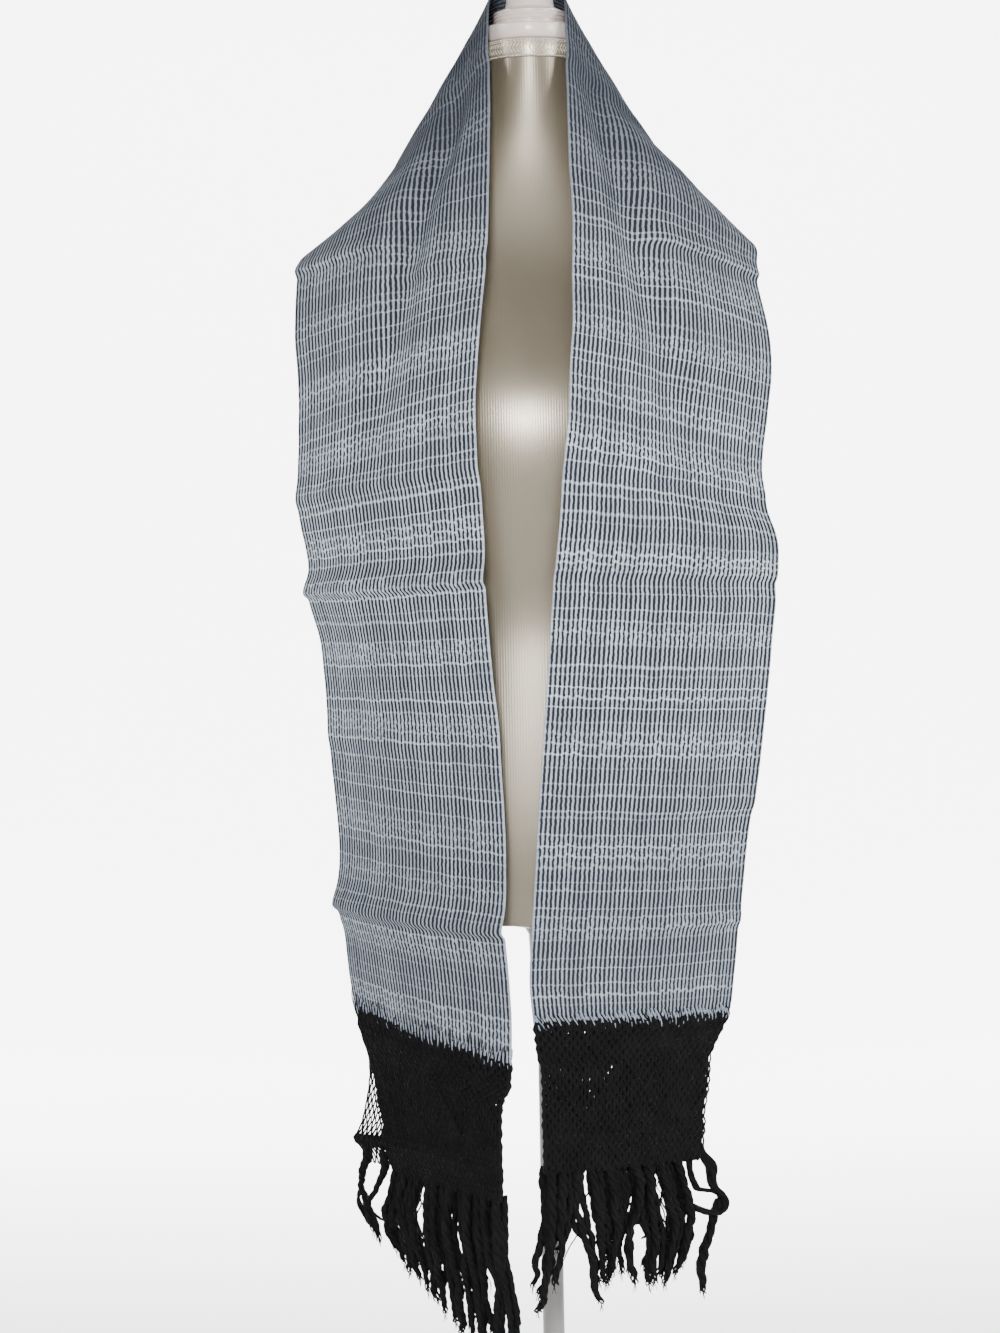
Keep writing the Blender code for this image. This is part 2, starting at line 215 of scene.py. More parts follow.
def turned(name, profile, finish, bevel=0.0):
    """A full turn of a profile of (radius, height) about the upright axis, with its rims rounded if a bevel
    is given.
    """
    shape = bmesh.new()
    points = [shape.verts.new((radius, 0, height)) for radius, height in profile]
    for pair in zip(points, points[1:]):
        shape.edges.new(pair)
    bmesh.ops.spin(
        shape, geom=shape.verts[:] + shape.edges[:], cent=(0, 0, 0), axis=(0, 0, 1),
        angle=2 * math.pi, steps=ROUND_STEPS, use_merge=True,
    )
    bmesh.ops.remove_doubles(shape, verts=shape.verts[:], dist=1e-6)
    bmesh.ops.dissolve_degenerate(shape, dist=1e-7, edges=shape.edges[:])
    bmesh.ops.recalc_face_normals(shape, faces=shape.faces[:])
    if bevel:
        round_rims(shape, RIM_ANGLE, bevel)
    made = finish_mesh(name, shape, finish)
    made.data.set_sharp_from_angle(angle=SHARP_ANGLE)
    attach(made, "root")
    return made


def cloud(where, scale, detail=2.0):
    """Soft noise from 0 to 1."""
    return pattern(where.tree, "TexNoise", "Fac", {"Vector": where, "Scale": scale, "Detail": detail})


def roughen(shader, height, strength, distance):
    """Fine relief in the surface, as a bump."""
    feed(shader.inputs["Normal"], pattern(
        height.tree, "Bump", "Normal", {"Strength": strength, "Distance": distance, "Height": height}))


def two_tones(shader, share, dark, light, start=0.0, end=1.0):
    """Colours the shader from dark to light as the share goes from start to end."""
    tones = share.tree.nodes.new("ShaderNodeValToRGB")
    feed(tones.inputs["Fac"], share)
    for stop, position, colour in zip(tones.color_ramp.elements, (start, end), (dark, light)):
        stop.position = position
        stop.color = (*colour, 1)
    feed(shader.inputs["Base Color"], Amount(tones.outputs["Color"]))


pole_paint, tree, shader = plain_material(
    "greige_satin_paint", (0.33, 0.315, 0.3), 0.34, {"Coat Weight": 0.2})
where = pattern(tree, "TexCoord", "Object")
roughen(shader, cloud(where, 900, 4), 0.12, 0.0002)
two_tones(shader, cloud(where, 14, 6), (0.27, 0.255, 0.24), (0.38, 0.362, 0.345))

low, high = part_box("stand_base")
base_radius, base_top = high.x, high.z
base = turned("stand_base_spun", (
    (0, base_top), (0.0135, base_top), (0.015, base_top - 0.002), (0.0165, base_top - 0.014),
    (0.02, base_top - 0.024), (0.029, base_top - 0.0295), (0.06, base_top - 0.0315),
    (0.12, base_top - 0.034), (base_radius - 0.006, base_top - 0.037),
    (base_radius - 0.001, base_top - 0.04), (base_radius, base_top - 0.043), (base_radius, 0.003),
    (base_radius - 0.002, 0.0), (0, 0.0),
), pole_paint)
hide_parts("stand_base")

low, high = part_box("pole")
tube = turned("pole_tube", (
    (0, high.z), (high.x, high.z), (high.x, low.z), (0, low.z),
), pole_paint, bevel=0.0008)
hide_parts("pole")

low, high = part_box("pole_socket")
socket = turned("pole_socket_turned", (
    (0, high.z), (high.x, high.z), (high.x, high.z - 0.004), (0.018, high.z - 0.0065),
    (0.015, high.z - 0.012), (0.014, low.z), (0, low.z),
), pole_paint, bevel=0.0008)
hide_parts("pole_socket")

# ---
# Torso: a moulded half body with no limbs, wearing a close cream jersey cover whose fine knit ribs run
# up and down. It takes the frame's shape, made smooth.

TORSO_LEVELS = 2
TORSO_CREASE = math.radians(50)
COVER_RIB = 0.0011        # width of one rib of the knit
RIB_SCALE = 1 / COVER_RIB / 6.28


def smooth_copy(node, name, finish):
    """A frame node with its triangles paired back into quads and rounded by subdivision."""
    shape = bmesh.new()
    shape.from_mesh(nodes[node].data)
    bmesh.ops.remove_doubles(shape, verts=shape.verts[:], dist=1e-5)
    bmesh.ops.join_triangles(
        shape, faces=shape.faces[:], angle_face_threshold=math.radians(40),
        angle_shape_threshold=math.radians(60),
    )
    crease = shape.edges.layers.float.get("crease_edge") or shape.edges.layers.float.new("crease_edge")
    for line in shape.edges:
        if line.calc_face_angle(0) > TORSO_CREASE:
            line[crease] = 1.0
            line.smooth = False
    made = finish_mesh(name, shape, finish)
    rounding = made.modifiers.new("rounding", "SUBSURF")
    rounding.levels = TORSO_LEVELS
    rounding.render_levels = TORSO_LEVELS
    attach(made, "root")
    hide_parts(node)
    return made


jersey, tree, shader = plain_material("cream_jersey_knit", (0.15, 0.12, 0.085), 0.31, {
    "Specular IOR Level": 1.0, "IOR": 1.9, "Specular Tint": (1.0, 0.9, 0.73),
    "Sheen Weight": 0.08, "Sheen Roughness": 0.5,
})
where = pattern(tree, "TexCoord", "Object")
two_tones(shader, cloud(where, 9, 5), (0.125, 0.103, 0.07), (0.17, 0.141, 0.099), 0.3, 0.7)
ribs = pattern(tree, "TexWave", "Fac", {
    "Vector": where, "Scale": RIB_SCALE, "Distortion": 0.6, "Detail": 2})
roughen(shader, ribs * 0.6 + cloud(where, 1400), 0.18, 0.0003)

torso = smooth_copy("form_torso", "torso_jersey_cover", jersey)

# ---
# Collar: the cover's neck edge, a doubled band with two close lines of small stitches at the top, a
# row of chevron cover-stitch in the middle and a line of dashes at its lower edge.

BAND_RIM_ANGLE, BAND_ROUNDING = math.radians(60), 0.0011
STITCH_THICK = 0.0004
STITCH_PROUD = 0.00048
STITCH_SUNK = 0.0001      # how far a dash's ends go into the knit
DASH_LENGTH = 0.0018
CHEVRON_STEP, CHEVRON_REACH, CHEVRON_SLANT = 0.003, 0.0019, 0.0014

low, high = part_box("form_collar")
collar_low, collar_high = low.z, high.z
neck_x, neck_y = high.x, high.y

band = bmesh.new()
bmesh.ops.create_cone(
    band, cap_ends=True, segments=ROUND_STEPS, radius1=1, radius2=1, depth=collar_high - collar_low,
)
bmesh.ops.scale(band, vec=(neck_x, neck_y, 1), verts=band.verts[:])
bmesh.ops.translate(band, vec=(0, 0, (collar_low + collar_high) / 2), verts=band.verts[:])
round_rims(band, BAND_RIM_ANGLE, BAND_ROUNDING)
# The band is the cover's own jersey; this copy of it is made lighter, painted light for the brightly lit
# band.
band_knit_painted_light = jersey.copy()
band_knit_painted_light.name = "cream_ribbed_band_painted_light"
band_tone_painted_light = band_knit_painted_light.node_tree.nodes["Color Ramp"].color_ramp
band_tone_painted_light.elements[0].color = (0.33, 0.28, 0.21, 1)
band_tone_painted_light.elements[1].color = (0.41, 0.35, 0.27, 1)
collar = finish_mesh("collar_band", band, band_knit_painted_light)
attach(collar, "root")
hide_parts("form_collar")

thread, _, _ = plain_material("cream_thread", (0.8, 0.73, 0.63), 0.6, {"Sheen Weight": 0.3})


def strands(name, paths, thickness, finish):
    """Many round yarns in one mesh. A path is a list of (point, share of the thickness)."""
    curve = bpy.data.curves.new(name, "CURVE")
    curve.dimensions = "3D"
    curve.bevel_depth = thickness
    curve.bevel_resolution = 1
    curve.use_fill_caps = True
    for path in paths:
        line = curve.splines.new("POLY")
        line.points.add(len(path) - 1)
        for knot, (point, share) in zip(line.points, path):
            knot.co = (*point, 1)
            knot.radius = share
    yarn = bpy.data.objects.new(name + "_line", curve)
    scene.collection.objects.link(yarn)
    bpy.context.view_layer.update()
    mesh = bpy.data.meshes.new_from_object(yarn.evaluated_get(bpy.context.evaluated_depsgraph_get()))
    mesh.name = name
    bpy.data.objects.remove(yarn)
    shape = bmesh.new()
    shape.from_mesh(mesh)
    bpy.data.meshes.remove(mesh)
    bmesh.ops.remove_doubles(shape, verts=shape.verts[:], dist=1e-7)
    made = finish_mesh(name, shape, finish)
    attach(made, "root")
    return made


def on_neck(angle, height, proud):
    """A point on the neck's oval, with the angle from the front middle."""
    return Vector(((neck_x + proud) * math.sin(angle), -(neck_y + proud) * math.cos(angle), height))


stitches = []
for height, step in (
    (collar_high - 0.002, 0.0026), (collar_high - 0.0034, 0.0026), (collar_low + 0.0012, 0.0028),
):
    turn_step = step / neck_x
    half = DASH_LENGTH / neck_x / 2
    for i in range(int(2 * math.pi / turn_step)):
        start = i * turn_step
        stitches.append([
            (on_neck(start - half, height, -STITCH_SUNK), 1.0),
            (on_neck(start, height, STITCH_PROUD), 1.0),
            (on_neck(start + half, height, -STITCH_SUNK), 1.0),
        ])
for height, lean in ((collar_high - 0.0066, 1), (collar_high - 0.0108, -1)):
    turn_step = CHEVRON_STEP / neck_x
    slant = lean * CHEVRON_SLANT / neck_x
    for i in range(int(2 * math.pi / turn_step)):
        start = i * turn_step
        stitches.append([
            (on_neck(start - slant, height - CHEVRON_REACH, 0.0), 0.8),
            (on_neck(start, height, STITCH_PROUD), 1.0),
            (on_neck(start + slant, height + CHEVRON_REACH, 0.0), 0.8),
        ])
collar_stitches = strands("collar_stitches", stitches, STITCH_THICK, thread)

# ---
# Neck plate and cap: two pieces turned in off-white plastic, a smooth plate and a grooved cap on it.

plastic, tree, shader = plain_material(
    "off_white_plastic", (0.8, 0.69, 0.63), 0.3, {"Coat Weight": 0.15})
roughen(shader, cloud(pattern(tree, "TexCoord", "Object"), 350, 4), 0.05, 0.0002)

low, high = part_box("neck_plate")
plate_radius = high.x
plate = turned("neck_plate_turned", (
    (0, high.z), (plate_radius - 0.0012, high.z), (plate_radius, high.z - 0.0012),
    (plate_radius, low.z + 0.001), (plate_radius - 0.0006, low.z), (0, low.z),
), plastic, bevel=0.0004)
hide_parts("neck_plate")

low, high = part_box("neck_cap")
foot = low.z
cap_profile = [
    (0, high.z), (0.01, high.z - 0.0007), (0.0165, high.z - 0.0034), (0.0192, high.z - 0.0075),
    (0.0198, foot + 0.0185), (0.0208, foot + 0.015), (0.028, foot + 0.0122),
]
for groove in (0.01, 0.007, 0.004):
    cap_profile += [
        (0.0304, foot + groove + 0.0009), (0.0304, foot + groove),
        (0.0292, foot + groove - 0.0004), (0.0292, foot + groove - 0.001),
    ]
cap_profile += [(0.0304, foot + 0.0022), (0.0304, foot), (0, foot)]
cap = turned("neck_cap_turned", cap_profile, plastic)
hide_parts("neck_cap")

# ---
# Rebozo: one narrow length of cotton woven on a backstrap loom, folded in half along its length and
# hung round the neck. The fold lies on the inner edges and both selvedges on the outer edges. Pale
# warps alternate with navy ones that were tie-dyed before weaving, so pale rows break them into dashes.

CLOTH_WIDTH = 0.192       # folded
CLOTH_THICK = 0.0007
LAYER_GAP = 0.0024        # from the front layer's face to the back layer's
FOLD_RADIUS = LAYER_GAP / 2
FRONT_COLUMNS, FOLD_COLUMNS, BACK_COLUMNS = 50, 5, 34
LONG_STEP, CREASE_STEP = 0.0053, 0.002
LOOK_AHEAD = 0.006        # along the cloth, to find which way it runs
CHEST = Vector((0.0, 0.02, 1.15))  # the cloth bulges away from here, or from the axis below it

# Rows of the hanging cloth, from the shoulder down. in is the folded inner edge and out the selvedges.
# The outer edge's y follows from the width, which is given only where the cloth is drawn in. curl is how
# far the section turns, in degrees.
HANGING_COLUMNS = ("x_in", "y_in", "z_in", "x_out", "z_out", "curl", "width")
LEFT_CLOTH = (
    (-0.0396, -0.107, 1.283, -0.195, 1.261, 24),
    (-0.0423, -0.116, 1.246, -0.198, 1.213, 26),
    (-0.0461, -0.122, 1.21, -0.1968, 1.172, 27),
    (-0.0502, -0.127, 1.162, -0.1976, 1.123, 28),
    (-0.0518, -0.129, 1.13, -0.1982, 1.098, 28),
    (-0.0506, -0.129, 1.092, -0.1985, 1.072, 28),
    (-0.0487, -0.129, 1.068, -0.1957, 1.05, 28),
    (-0.047, -0.128, 1.031, -0.1912, 1.021, 28),
    (-0.0467, -0.127, 1, -0.193, 0.995, 27),
    (-0.0443, -0.127, 0.959, -0.1842, 0.958, 28),
    (-0.0415, -0.126, 0.92, -0.18, 0.922, 28),
    (-0.0381, -0.126, 0.886, -0.178, 0.895, 28),
    (-0.0368, -0.125, 0.852, -0.1757, 0.865, 28),
    (-0.0347, -0.124, 0.804, -0.1734, 0.826, 28),
    (-0.035, -0.123, 0.76, -0.1716, 0.782, 28),
    (-0.0365, -0.122, 0.721, -0.1735, 0.738, 28),
    (-0.0342, -0.121, 0.69, -0.1675, 0.712, 28, 0.19),
    (-0.032, -0.12, 0.652, -0.1635, 0.68, 28, 0.187),
    (-0.0324, -0.119, 0.616, -0.1595, 0.656, 27, 0.184),
)
LEFT_BORDER = (
    (-0.0335, -0.119, 0.6, -0.1515, 0.622, 26, 0.172),
    (-0.038, -0.119, 0.587, -0.1525, 0.59, 26, 0.168),
    (-0.0385, -0.118, 0.56, -0.1585, 0.56, 26, 0.168),
    (-0.0375, -0.118, 0.545, -0.1625, 0.545, 26, 0.168),
    (-0.0388, -0.118, 0.53, -0.1565, 0.528, 26, 0.166),
)
LEFT_FRINGE = (
    (-0.036, -0.118, 0.48, -0.16, 0.495, 26, 0.166),
    (-0.03, -0.118, 0.43, -0.15, 0.463, 26, 0.164),
    (-0.03, -0.118, 0.386, -0.14, 0.432, 26, 0.164),
)
RIGHT_CLOTH = (
    (0.032, -0.107, 1.29, 0.1823, 1.252, 22),
    (0.0303, -0.116, 1.245, 0.1904, 1.207, 22),
    (0.0297, -0.122, 1.208, 0.1925, 1.17, 22),
    (0.0266, -0.127, 1.172, 0.1883, 1.132, 22),
    (0.0246, -0.129, 1.128, 0.183, 1.09, 23),
    (0.0199, -0.129, 1.088, 0.1853, 1.058, 23),
    (0.0165, -0.129, 1.048, 0.1926, 1.03, 23),
    (0.0112, -0.128, 1.003, 0.1918, 0.996, 22),
    (0.0084, -0.127, 0.976, 0.189, 0.968, 22),
    (0.0053, -0.127, 0.938, 0.185, 0.932, 22),
    (0.0022, -0.126, 0.899, 0.1805, 0.893, 22),
    (-0.0029, -0.125, 0.838, 0.1725, 0.832, 22),
    (-0.0055, -0.124, 0.803, 0.167, 0.798, 23),
    (-0.0093, -0.123, 0.749, 0.161, 0.745, 24),
    (-0.0113, -0.122, 0.724, 0.158, 0.722, 24),
    (-0.0141, -0.12, 0.681, 0.1525, 0.68, 24, 0.19),
    (-0.0119, -0.119, 0.648, 0.1475, 0.646, 24, 0.184),
)
RIGHT_BORDER = (
    (-0.0103, -0.119, 0.625, 0.1345, 0.623, 22, 0.17),
    (-0.0095, -0.119, 0.589, 0.131, 0.589, 22, 0.167),
    (-0.0092, -0.118, 0.559, 0.1262, 0.559, 22, 0.164),
    (-0.009, -0.118, 0.53, 0.1262, 0.53, 22, 0.164),
)
RIGHT_FRINGE = (
    (-0.011, -0.118, 0.48, 0.129, 0.485, 22, 0.164),
    (-0.0177, -0.118, 0.416, 0.122, 0.42, 22, 0.16),
)

# Rows over the shoulder and behind the neck, from the middle of the back to the shoulder. The folded
# edge stands up round the nape and the selvedges lie on the upper back.
OVER_COLUMNS = ("x_in", "y_in", "z_in", "x_out", "y_out", "z_out", "curl")
BACK_MIDDLE = (0, 0.05, 1.504, 0, 0.097, 1.328, 22)
LEFT_OVER = (
    BACK_MIDDLE,
    (-0.02, 0.04, 1.501, -0.034, 0.097, 1.327, 22),
    (-0.033, 0.01, 1.488, -0.07, 0.095, 1.323, 34),
    (-0.0363, -0.026, 1.464, -0.106, 0.088, 1.32, 36),
    (-0.0362, -0.042, 1.428, -0.14, 0.072, 1.308, 24),
    (-0.0364, -0.06, 1.388, -0.17, 0.042, 1.291, 16),
    (-0.0378, -0.084, 1.337, -0.19, 0.012, 1.276, 20),
)
RIGHT_OVER = (
    BACK_MIDDLE,
    (0.0175, 0.04, 1.501, 0.034, 0.097, 1.327, 22),
    (0.029, 0.01, 1.488, 0.071, 0.095, 1.323, 28),
    (0.0302, -0.03, 1.465, 0.105, 0.088, 1.319, 31),
    (0.0302, -0.044, 1.428, 0.138, 0.07, 1.307, 24),
    (0.0302, -0.062, 1.388, 0.169, 0.04, 1.292, 30),
    (0.0303, -0.086, 1.34, 0.184, 0.012, 1.276, 28),
)

# Soft valleys that run down from the neck. at is the distance along the cloth from the middle of the
# back, and across is the share of the width from the fold.
VALLEY_COLUMNS = ("at", "across", "depth", "half_width")
LEFT_VALLEY = (
    (0.1, 0.18, 0.002, 0.09),
    (0.17, 0.26, 0.013, 0.09),
    (0.24, 0.36, 0.014, 0.09),
    (0.32, 0.43, 0.01, 0.1),
    (0.44, 0.55, 0, 0.12),
)
RIGHT_VALLEY = (
    (0.1, 0.14, 0.002, 0.09),
    (0.17, 0.2, 0.012, 0.09),
    (0.24, 0.3, 0.013, 0.1),
    (0.32, 0.4, 0.01, 0.11),
    (0.44, 0.6, 0, 0.13),
)

# Creases along the weft, where the rebozo was folded to be put away, and slacker folds between them.
# row counts the hanging rows from the shoulder. start and end are shares of the width from the fold, and
# above and below say how wide the ridge is on each side. The one on the back is placed by its distance.
CREASE_COLUMNS = ("row", "start", "end", "height", "above", "below")
LEFT_CREASES = (
    (0, 0.45, 1.1, 0.004, 0.011, 0.004),
    (0.6, -0.1, 0.5, 0.0024, 0.01, 0.004),
    (5, -0.1, 1.1, 0.0018, 0.013, 0.006),
    (8, -0.1, 1.1, 0.0048, 0.011, 0.003),
    (11.6, 0.3, 1.1, 0.0014, 0.016, 0.01),
    (15, -0.1, 1.1, 0.0066, 0.015, 0.003),
)
RIGHT_CREASES = (
    (0, 0.3, 1.1, 0.0044, 0.012, 0.004),
    (4.6, 0.1, 1.1, 0.0014, 0.015, 0.008),
    (7, -0.1, 1.1, -0.004, 0.005, 0.01),
    (11.4, 0.45, 1.1, 0.0016, 0.012, 0.006),
    (14, 0.5, 1.1, 0.0024, 0.01, 0.004),
)
BACK_CREASE, BACK_CREASE_AT = (0, -0.1, 1.1, 0.002, 0.012, 0.006), 0.118
CREASE_WANDER = 0.0022
CREASE_END = 0.12         # share of the width over which a crease dies out
SLACK, RIPPLE = 0.003, 0.0004  # broad and fine unevenness of the whole cloth


def named(columns, rows):
    return [dict(zip(columns, row)) for row in rows]


def through(a, b, c, d, t):
    """A smooth way from b to c, with a before them and d after them."""
    return 0.5 * (2 * b + (c - a) * t + (2 * a - 5 * b + 4 * c - d) * t**2 + (3 * b - a - 3 * c + d) * t**3)


def read_rows(rows, key, at):
    """The row at this value of its key column, on a smooth curve through the rows."""
    last = len(rows) - 1
    i = 0
    while i < last - 1 and rows[i + 1][key] < at:
        i += 1
    t = (at - rows[i][key]) / (rows[i + 1][key] - rows[i][key])
    found = {}
    for column in rows[0]:
        near = (rows[max(0, min(last, k))][column] for k in range(i - 1, i + 3))
        found[column] = through(*near, t)
    found[key] = at
    return found


def held(share):
    """A share kept between 0 and 1."""
    return min(1.0, max(0.0, share))


def edge(row, side):
    return Vector((row["x_" + side], row["y_" + side], row["z_" + side]))


def middle(row):
    return (edge(row, "in") + edge(row, "out")) / 2


def half_shawl(over, tables, valley, creases):
    """One half of the shawl, from the middle of the back: its rows, piece ends, valley and creases."""
    rows = named(OVER_COLUMNS, over)
    first_hanging = len(rows)
    ends = []
    for table in tables:
        for row in named(HANGING_COLUMNS, table):
            half_turn = math.radians(row["curl"]) / 2
            chord = row.get("width", CLOTH_WIDTH) * math.sin(half_turn) / half_turn
            aside, fall = row["x_out"] - row["x_in"], row["z_out"] - row["z_in"]
            row["y_out"] = row["y_in"] + math.sqrt(chord**2 - aside**2 - fall**2)
            rows.append({column: row[column] for column in OVER_COLUMNS})
        ends.append(len(rows) - 1)
    length = 0.0
    for i, row in enumerate(rows):
        if i:
            length += (middle(row) - middle(rows[i - 1])).length
        row["at"] = length
    placed = []
    for crease in named(CREASE_COLUMNS, creases):
        i = first_hanging + int(crease["row"])
        crease["at"] = rows[i]["at"] + (crease["row"] % 1) * (rows[i + 1]["at"] - rows[i]["at"])
        placed.append(crease)
    placed.append(dict(zip(CREASE_COLUMNS, BACK_CREASE), at=BACK_CREASE_AT))
    return {
        "rows": rows,
        "ends": [rows[i]["at"] for i in ends],
        "valley": named(VALLEY_COLUMNS, valley),
        "creases": placed,
    }


halves = {
    "left": half_shawl(LEFT_OVER, (LEFT_CLOTH, LEFT_BORDER, LEFT_FRINGE), LEFT_VALLEY, LEFT_CREASES),
    "right": half_shawl(
        RIGHT_OVER, (RIGHT_CLOTH, RIGHT_BORDER, RIGHT_FRINGE), RIGHT_VALLEY, RIGHT_CREASES
    ),
}


def station(half, at):
    """The cloth's section at this distance: its middle, directions, turn and radius."""
    rows = half["rows"]
    row = read_rows(rows, "at", at)
    ahead = min(at + LOOK_AHEAD, rows[-1]["at"])
    behind = max(at - LOOK_AHEAD, 0.0)
    along = middle(read_rows(rows, "at", ahead)) - middle(read_rows(rows, "at", behind))
    chord = edge(row, "out") - edge(row, "in")
    out = chord.cross(along).normalized()
    centre = middle(row)
    if out.dot(centre - Vector((CHEST.x, CHEST.y, min(CHEST.z, centre.z)))) < 0:
        out.negate()
    turn = math.radians(row["curl"])
    return {
        "at": at,
        "centre": centre,
        "aside": chord.normalized(),
        "out": out,
        "turn": turn,
        "radius": chord.length / (2 * math.sin(turn / 2)),
    }


def relief(half, at, across):
    """How far the cloth stands out of its plain form: valleys, creases and slight unevenness."""
    lift = 0.0
    valley = half["valley"]
    if valley[0]["at"] < at < valley[-1]["at"]:
        here = read_rows(valley, "at", at)
        lift -= here["depth"] * math.exp(-(((across - here["across"]) / here["half_width"]) ** 2))
    for crease in half["creases"]:
        wander = CREASE_WANDER * noise.noise(Vector((across * 2.5, crease["at"] * 9, 3.0)))
        away = at - crease["at"] - wander
        reach = crease["above"] if away < 0 else crease["below"]
        if abs(away) > 3 * reach:
            continue
        fading = held((across - crease["start"]) / CREASE_END) * held((crease["end"] - across) / CREASE_END)
        uneven = 1 + 0.35 * noise.noise(Vector((across * 4, crease["at"] * 5, 7.0)))
        lift += crease["height"] * fading * uneven * math.exp(-((away / reach) ** 2))
    lift += SLACK * noise.noise(Vector((across * 2.6, at * 7.0, half["rows"][-1]["at"])))
    lift += RIPPLE * noise.noise(Vector((across * 9.0, at * 45.0, 1.0)))
    return lift


def on_section(here, across, out):
    """A point this share of the width from the fold, and this far out of the plain form."""
    angle = (across - 0.5) * here["turn"]
    radius = here["radius"]
    bulge = radius * (math.cos(angle) - math.cos(here["turn"] / 2))
    facing = here["out"] * math.cos(angle) + here["aside"] * math.sin(angle)
    aside = here["aside"] * radius * math.sin(angle)
    return here["centre"] + aside + here["out"] * bulge + facing * out


def layered_point(half, here, column):
    """Where a column of the folded cloth lies, and its distance across the cut from the front selvedge."""
    at = here["at"]
    stray = 0.0016 * noise.noise(Vector((at * 14.0, 5.0, 0.0)))
    if column <= FRONT_COLUMNS:
        across = 1 - column / FRONT_COLUMNS
        stretch = across * (1 + stray / CLOTH_WIDTH * 0.5)
        return on_section(here, stretch, relief(half, at, across)), CLOTH_WIDTH * (1 - across)
    if column < FRONT_COLUMNS + FOLD_COLUMNS:
        turn = math.pi * (column - FRONT_COLUMNS) / FOLD_COLUMNS
        away = FOLD_RADIUS * math.sin(turn) / CLOTH_WIDTH
        out = relief(half, at, 0.0) - FOLD_RADIUS * (1 - math.cos(turn))
        return on_section(here, -away, out), CLOTH_WIDTH + 0.0001 * (column - FRONT_COLUMNS)
    across = (column - FRONT_COLUMNS - FOLD_COLUMNS) / BACK_COLUMNS
    stretch = across * (1 - stray / CLOTH_WIDTH)
    out = relief(half, at, across) - LAYER_GAP
    return on_section(here, stretch, out), CLOTH_WIDTH + 0.0005 + (CLOTH_WIDTH - 0.0005) * across


def row_places(half, end):
    """Distances of the mesh's rows, closer together at the creases."""
    places = [0.0]
    while places[-1] < end:
        at = places[-1]
        close = any(-0.016 < at - crease["at"] < 0.012 for crease in half["creases"])
        places.append(at + (CREASE_STEP if close else LONG_STEP))
    places[-1] = end
    return places


# Lengths of the navy dashes along the cloth in millimetres, and how much the pale warps weave from
# side to side there, as they do where the tied bundles slipped.
DASHES = (
    (15, 0), (8, 0.3), (7, 0.9), (8, 1), (9, 0.5), (15, 0), (7, 0.2), (13, 0), (6, 0.1), (14, 0),
    (8, 0.7), (7, 1), (7, 0.8), (12, 0.1), (6, 0.3), (14, 0), (8, 0.2), (9, 0.9), (8, 1), (16, 0),
    (6, 0), (12, 0.2), (8, 0.6), (7, 0.6),
)
STRIPE_PITCH = 0.00385

draws = random.Random(7)
dash_ends, dash_facts = [-1.2], []
while dash_ends[-1] < 1.2:
    for length, weave in DASHES:
        length = length * draws.uniform(0.86, 1.14)
        dash_ends.append(dash_ends[-1] + length / 1000)
        dash_facts.append((length, weave))


def dash_at(along):
    """Which dash this is, as a number that grows by one each dash, with its length and its weave."""
    i = min(bisect.bisect_right(dash_ends, along), len(dash_facts)) - 1
    length, weave = dash_facts[i]
    return i + (along - dash_ends[i]) * 1000 / length, length, weave


left_places = row_places(halves["left"], halves["left"]["ends"][0])
right_places = row_places(halves["right"], halves["right"]["ends"][0])
long_rows = [-at for at in reversed(left_places)] + right_places[1:]
columns = FRONT_COLUMNS + FOLD_COLUMNS + BACK_COLUMNS

woven = bmesh.new()
bmesh.ops.create_grid(woven, x_segments=columns, y_segments=len(long_rows) - 1, size=1)
grain = woven.loops.layers.uv.new("weave")
facts = {name: woven.verts.layers.float.new(name) for name in ("phase", "dash", "slip")}
stations = []
for along in long_rows:
    half = halves["left" if along < 0 else "right"]
    stations.append((half, station(half, abs(along)), dash_at(along)))
texture_place = {}
for corner in woven.verts:
    column = round((corner.co.x + 1) / 2 * columns)
    row = round((corner.co.y + 1) / 2 * (len(long_rows) - 1))
    half, here, (phase, dash, weave) = stations[row]
    corner.co, from_selvedge = layered_point(half, here, column)
    corner[facts["phase"]] = phase
    corner[facts["dash"]] = dash
    corner[facts["slip"]] = weave
    texture_place[corner] = (from_selvedge / STRIPE_PITCH, long_rows[row] * 1000)
for face in woven.faces:
    for loop in face.loops:
        loop[grain].uv = texture_place[loop.vert]
on_front = Vector((-0.1, -0.1, 0.9))
front_face = min(woven.faces, key=lambda face: (face.calc_center_median() - on_front).length)
woven.normal_update()
if front_face.normal.y > 0:
    bmesh.ops.reverse_faces(woven, faces=woven.faces[:])


def fade(amount, start, end):
    """0 at start and 1 at end, eased."""
    low_end, high_end = (0, 1) if start < end else (1, 0)
    return pattern(amount.tree, "MapRange", "Result", {
        "Value": amount, "From Min": min(start, end), "From Max": max(start, end),
        "To Min": low_end, "To Max": high_end,
    }, interpolation_type="SMOOTHSTEP")


def cloth_cloud(x, y, detail=2.0):
    """Soft noise from 0 to 1 that lies on the weave."""
    return cloud(pattern(x.tree, "CombineXYZ", 0, {0: x, 1: y}), 1.0, detail)


def chance(amount):
    """A random number from 0 to 1 for each whole number."""
    return pattern(amount.tree, "TexWhiteNoise", "Value", {"W": amount}, noise_dimensions="1D")


def blend(share, first, second):
    """A colour between two."""
    return pattern(share.tree, "Mix", 2, {0: share, 6: first, 7: second}, data_type="RGBA")


tie_dyed, tree, shader = plain_material(
    "tie_dyed_stripe", (0.3, 0.35, 0.42), 0.86, {"Specular IOR Level": 0.08})
where = pattern(tree, "UVMap", "UV", uv_map="weave")
# stripe counts the pale warps across the cloth, and along is in millimetres from the middle of the back.
stripe, along = (pattern(tree, "SeparateXYZ", axis, {0: where}) for axis in "XY")
phase, dash, slip = (
    pattern(tree, "Attribute", "Fac", attribute_name=name) for name in ("phase", "dash", "slip"))
warp = maths("FLOOR", stripe)
luck = chance(warp)
drift = cloth_cloud(stripe * 0.1, along * 0.03)
